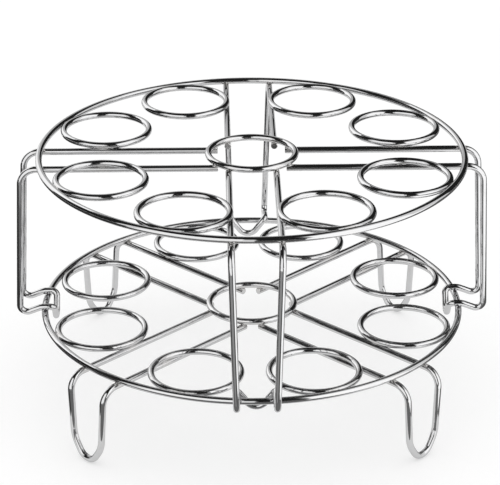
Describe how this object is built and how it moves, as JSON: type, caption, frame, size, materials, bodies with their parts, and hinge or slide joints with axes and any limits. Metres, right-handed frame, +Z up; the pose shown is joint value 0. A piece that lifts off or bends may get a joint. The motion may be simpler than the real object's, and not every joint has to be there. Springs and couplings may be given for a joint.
{
  "type": "egg steaming rack",
  "caption": "Stacking rack of polished round wire that holds eggs upright in hoops above the water in a pot; the upper tier hooks over the lower tier's ring and lifts off.",
  "frame": {"origin": "on the surface that the feet stand on, on the axis of the two rings", "axes": "+Z up along the axis of the rings; the upper legs stand on the X and Y axes and the feet on the diagonals; -Y faces the viewer of the picture"},
  "size_m": [0.2158, 0.2158, 0.1171],
  "materials": {
    "stainless_wire": "polished stainless steel wire, bright all over"
  },
  "bodies": {
    "lower_tier": {"lower_ring": "stainless_wire", "lower_centre_hoop": "stainless_wire", "lower_egg_hoop_1": "stainless_wire", "lower_egg_hoop_2": "stainless_wire", "lower_foot_back_right": "stainless_wire", "lower_egg_hoop_3": "stainless_wire", "lower_egg_hoop_4": "stainless_wire", "lower_foot_back_left": "stainless_wire", "lower_egg_hoop_5": "stainless_wire", "lower_egg_hoop_6": "stainless_wire", "lower_foot_front_left": "stainless_wire", "lower_egg_hoop_7": "stainless_wire", "lower_egg_hoop_8": "stainless_wire", "lower_foot_front_right": "stainless_wire"},
    "upper_tier": {"upper_ring": "stainless_wire", "upper_centre_hoop": "stainless_wire", "upper_egg_hoop_1": "stainless_wire", "upper_egg_hoop_2": "stainless_wire", "upper_leg_right": "stainless_wire", "upper_egg_hoop_3": "stainless_wire", "upper_egg_hoop_4": "stainless_wire", "upper_leg_back": "stainless_wire", "upper_egg_hoop_5": "stainless_wire", "upper_egg_hoop_6": "stainless_wire", "upper_leg_left": "stainless_wire", "upper_egg_hoop_7": "stainless_wire", "upper_egg_hoop_8": "stainless_wire", "upper_leg_front": "stainless_wire"}
  },
  "joints": [
    {"name": "upper_tier_lift", "type": "slide", "parent": "lower_tier", "child": "upper_tier", "axis": [0, 0, 1], "range_m": [0, 0.06]}
  ]
}
